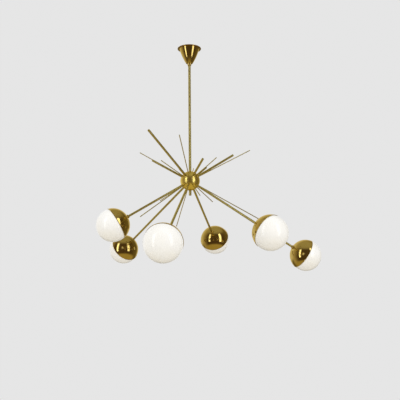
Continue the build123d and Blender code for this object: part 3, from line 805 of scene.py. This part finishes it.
class CHANDELIER_OT_bulbs(bpy.types.Operator):
    """Blow the six frosted bulbs and roll the threads of their caps"""
    bl_idname = "chandelier.bulbs"
    bl_label = "Bulbs"

    def execute(self, context):
        s = sizes()
        glass = arc(s.bulb_radius, pi / 2, bulb_shoulder, bulb_steps, bulb_ball_place)
        neck = []
        for step in range(1, bulb_neck_steps + 1):
            t = step / bulb_neck_steps
            at = Vector(glass[-1]) * (1 - t) ** 2 + Vector(bulb_neck_bend) * 2 * t * (1 - t) \
                + Vector(bulb_neck_end) * t ** 2
            neck.append(tuple(at))
        envelope = [(0.0, bulb_ball_place + s.bulb_radius)] + glass[1:] + neck + [(0.0, bulb_neck_end[1])]
        cap = [(0.0, cap_mouth)] + softened(cap_corners) + [(0.0, cap_end)]
        for number in numbers:
            centre, out = globe_places[number]
            shape = bmesh.new()
            turn(shape, envelope, centre, out, bulb_sides)
            bulb = finished_piece("bulb_envelope_" + number, shape, finish_of("frosted bulb glass"))
            place_on_frame(bulb, "bulb_" + number, "bulb_glass", "bulb_" + number)
            shape = bmesh.new()
            turn(shape, cap, centre, out, cap_sides)
            metal = finished_piece("bulb_cap_" + number, shape, finish_of("cap nickel"), cap_crease)
            place_on_frame(metal, "bulb_" + number, "screw_steel", "bulb_" + number)
            start = bpy.data.meshes.new("thread_start")
            thread = grown("bulb_thread_" + number, thread_tree(), start, {
                "Thread radius": thread_radius, "Turns": thread_turns,
                "Height": thread_turns * s.thread_pitch, "Ridge radius": thread_ridge,
                "Finish": finish_of("cap nickel")})
            upright = out.to_track_quat("Z", "Y").to_matrix().to_4x4()
            thread.data.transform(Matrix.Translation(centre + out * thread_start) @ upright)
            place_on_frame(thread, "bulb_" + number, "screw_steel", "bulb_" + number)
        return {"FINISHED"}


class CHANDELIER_OT_fittings(bpy.types.Operator):
    """Dress the lampholders, clips, bracket and terminal block"""
    bl_idname = "chandelier.fittings"
    bl_label = "Inner Fittings"

    def execute(self, context):
        dress(["lampholder_" + number for number in numbers], "insulator plastic")
        dress(["clip_nuts", "terminal_block"], "insulator plastic")
        dress(["globe_clips"], "spring steel")
        dress(["ceiling_bracket"], "bracket steel")
        dress(["hanger_nipple", "hanger_nuts", "earth_screw"], "screw steel")
        dress(["terminal_screws", "block_screw"], "screw steel")
        return {"FINISHED"}


class CHANDELIER_OT_stage(bpy.types.Operator):
    """Set the floor, the soft light, the surroundings and the camera"""
    bl_idname = "chandelier.stage"
    bl_label = "Studio"

    def execute(self, context):
        scene = context.scene
        scene.view_settings.view_transform = "Standard"
        self.floor()
        self.surroundings(scene)
        for name, light in soft_lights.items():
            self.softbox(name, *light)
        self.camera(scene)
        return {"FINISHED"}

    def floor(self):
        """A pale round floor whose edge fades away."""
        shape = bmesh.new()
        bmesh.ops.create_circle(shape, cap_ends=True, segments=floor_sides, radius=floor_radius)
        for vertex in shape.verts:
            vertex.co.z = floor_height
        mesh = bpy.data.meshes.new("pale_floor")
        shape.to_mesh(mesh)
        shape.free()
        floor = in_scene("pale_floor", mesh)
        recipe = Recipe("pale_floor")
        tone = finishes().floor
        recipe.feed("Base Color", recipe.blend(recipe.noise(3.0, 4.0), tone, tuple(c * 0.96 for c in tone)))
        recipe.shader.inputs["Roughness"].default_value = 0.85
        parts = recipe.node("ShaderNodeSeparateXYZ", Vector=recipe.coords)
        level = recipe.node("ShaderNodeCombineXYZ", X=parts.outputs["X"], Y=parts.outputs["Y"])
        reach = recipe.tree.nodes.new("ShaderNodeVectorMath")
        reach.operation = "LENGTH"
        recipe.tree.links.new(level.outputs["Vector"], reach.inputs[0])
        recipe.feed("Alpha", recipe.spread(reach.outputs["Value"], *floor_fade, 1.0, 0.0))
        mesh.materials.append(recipe.material)
        floor.visible_glossy = False

    def softbox(self, name, turned, raised, away, wide, tall, watts, mirrored):
        """A soft light that faces the lamp."""
        light = bpy.data.lights.new(name, "AREA")
        light.shape = "RECTANGLE"
        light.size, light.size_y, light.energy = wide, tall, watts
        lamp = in_scene(name, light)
        towards = Vector((sin(radians(turned)) * cos(radians(raised)),
                          -cos(radians(turned)) * cos(radians(raised)), sin(radians(raised))))
        lamp.location = lamp_middle + towards * away
        lamp.rotation_euler = (-towards).to_track_quat("-Z", "Y").to_euler()
        lamp.visible_camera = False
        lamp.visible_glossy = mirrored

    def surroundings(self, scene):
        """Surroundings for metal and glass to mirror, even soft light for all else, plain grey behind."""
        world = bpy.data.worlds.new("studio")
        scene.world = world
        world.use_nodes = True
        tree = world.node_tree
        tree.nodes.clear()
        direction_in = tree.nodes.new("ShaderNodeTexCoord").outputs["Generated"]
        split = tree.nodes.new("ShaderNodeSeparateXYZ")
        tree.links.new(direction_in, split.inputs[0])

        def ramp(source, low, high):
            """A smooth rise from 0 to 1 between two values."""
            made = tree.nodes.new("ShaderNodeMapRange")
            made.interpolation_type = "SMOOTHSTEP"
            tree.links.new(source, made.inputs["Value"])
            made.inputs["From Min"].default_value = low
            made.inputs["From Max"].default_value = high
            return made.outputs["Result"]

        def mix(factor, first, second):
            """Two colours, or outputs, mixed by a factor."""
            made = tree.nodes.new("ShaderNodeMix")
            made.data_type = "RGBA"
            tree.links.new(factor, made.inputs[mix_factor])
            for index, value in ((mix_first, first), (mix_second, second)):
                if isinstance(value, bpy.types.NodeSocket):
                    tree.links.new(value, made.inputs[index])
                else:
                    made.inputs[index].default_value = (*value, 1)
            return made.outputs[mix_result]

        # Directions run from -1 to 1: x to the viewer's right, y away from the viewer, z up.
        x, y, z = split.outputs
        grey = tuple(finishes().background)
        around = mix(ramp(x, -0.4, 0.4), left_side, right_side)
        around = mix(ramp(y, -0.45, 0.45), dark_front, around)
        around = mix(ramp(z, -0.72, -0.48), warm_ground, around)
        around = mix(ramp(z, 0.58, 0.92), around, pale_top)
        behind = tree.nodes.new("ShaderNodeMath")
        behind.operation = "MULTIPLY_ADD"
        tree.links.new(x, behind.inputs[0])
        behind.inputs[1].default_value = backdrop_turn
        tree.links.new(y, behind.inputs[2])
        backdrop = mix(ramp(z, -0.40, -0.12), backdrop_foot, grey)
        backdrop = mix(ramp(z, -0.85, -0.60), around, backdrop)
        backdrop = mix(ramp(z, 0.75, 0.95), backdrop, around)
        seen = mix(ramp(behind.outputs[0], 0.45, 0.9), around, backdrop)
        soft = mix(ramp(z, -0.7, 0.2), soft_from_below, soft_from_above)
        path = tree.nodes.new("ShaderNodeLightPath")
        sharp = tree.nodes.new("ShaderNodeMath")
        sharp.operation = "MAXIMUM"
        tree.links.new(path.outputs["Is Glossy Ray"], sharp.inputs[0])
        tree.links.new(path.outputs["Is Transmission Ray"], sharp.inputs[1])
        shown = mix(sharp.outputs[0], soft, seen)
        shown = mix(path.outputs["Is Camera Ray"], shown, grey)
        light = tree.nodes.new("ShaderNodeBackground")
        out = tree.nodes.new("ShaderNodeOutputWorld")
        tree.links.new(shown, light.inputs["Color"])
        tree.links.new(light.outputs[0], out.inputs["Surface"])

    def camera(self, scene):
        """The viewer's place, a little below the hub, turned, tilted and rolled as in the photograph."""
        lens = bpy.data.cameras.new("viewer")
        lens.sensor_width = film_width
        lens.lens = focal_pixels / frame_pixels * film_width
        camera = in_scene("viewer", lens)
        ahead = Vector((sin(viewer_yaw) * cos(viewer_tilt), cos(viewer_yaw) * cos(viewer_tilt),
                        sin(viewer_tilt)))
        right = Vector((cos(viewer_yaw), -sin(viewer_yaw), 0))
        up = right.cross(ahead)
        across = right * cos(viewer_roll) + up * sin(viewer_roll)
        upright = up * cos(viewer_roll) - right * sin(viewer_roll)
        turned = Matrix((across, upright, -ahead)).transposed().to_4x4()
        camera.matrix_world = Matrix.Translation(viewer_place) @ turned
        scene.camera = camera


class CHANDELIER_PT_sidebar(bpy.types.Panel):
    """The chandelier's pieces, sizes and finishes"""
    bl_idname = "CHANDELIER_PT_sidebar"
    bl_label = "Sputnik Chandelier"
    bl_space_type = "VIEW_3D"
    bl_region_type = "UI"
    bl_category = "Chandelier"

    def draw(self, context):
        for group in (context.scene.chandelier_sizes, context.scene.chandelier_finishes):
            box = self.layout.box()
            for key in group.__annotations__:
                box.prop(group, key)
        for operator in operators:
            self.layout.operator(operator.bl_idname)


operators = (
    CHANDELIER_OT_opal_globes, CHANDELIER_OT_cups, CHANDELIER_OT_ring_nuts, CHANDELIER_OT_rods,
    CHANDELIER_OT_canopy, CHANDELIER_OT_hub_and_stem, CHANDELIER_OT_bulbs, CHANDELIER_OT_fittings,
    CHANDELIER_OT_stage,
)
classes = (ChandelierSizes, ChandelierFinishes, *operators, CHANDELIER_PT_sidebar)


def register():
    """Add the classes and the scene's settings."""
    for cls in classes:
        bpy.utils.register_class(cls)
    bpy.types.Scene.chandelier_sizes = PointerProperty(type=ChandelierSizes)
    bpy.types.Scene.chandelier_finishes = PointerProperty(type=ChandelierFinishes)


def unregister():
    """Take them away again."""
    del bpy.types.Scene.chandelier_finishes
    del bpy.types.Scene.chandelier_sizes
    for cls in reversed(classes):
        bpy.utils.unregister_class(cls)


def main():
    """Make every piece."""
    register()
    for operator in operators:
        family, name = operator.bl_idname.split(".")
        getattr(getattr(bpy.ops, family), name)()


if __name__ == "__main__":
    main()
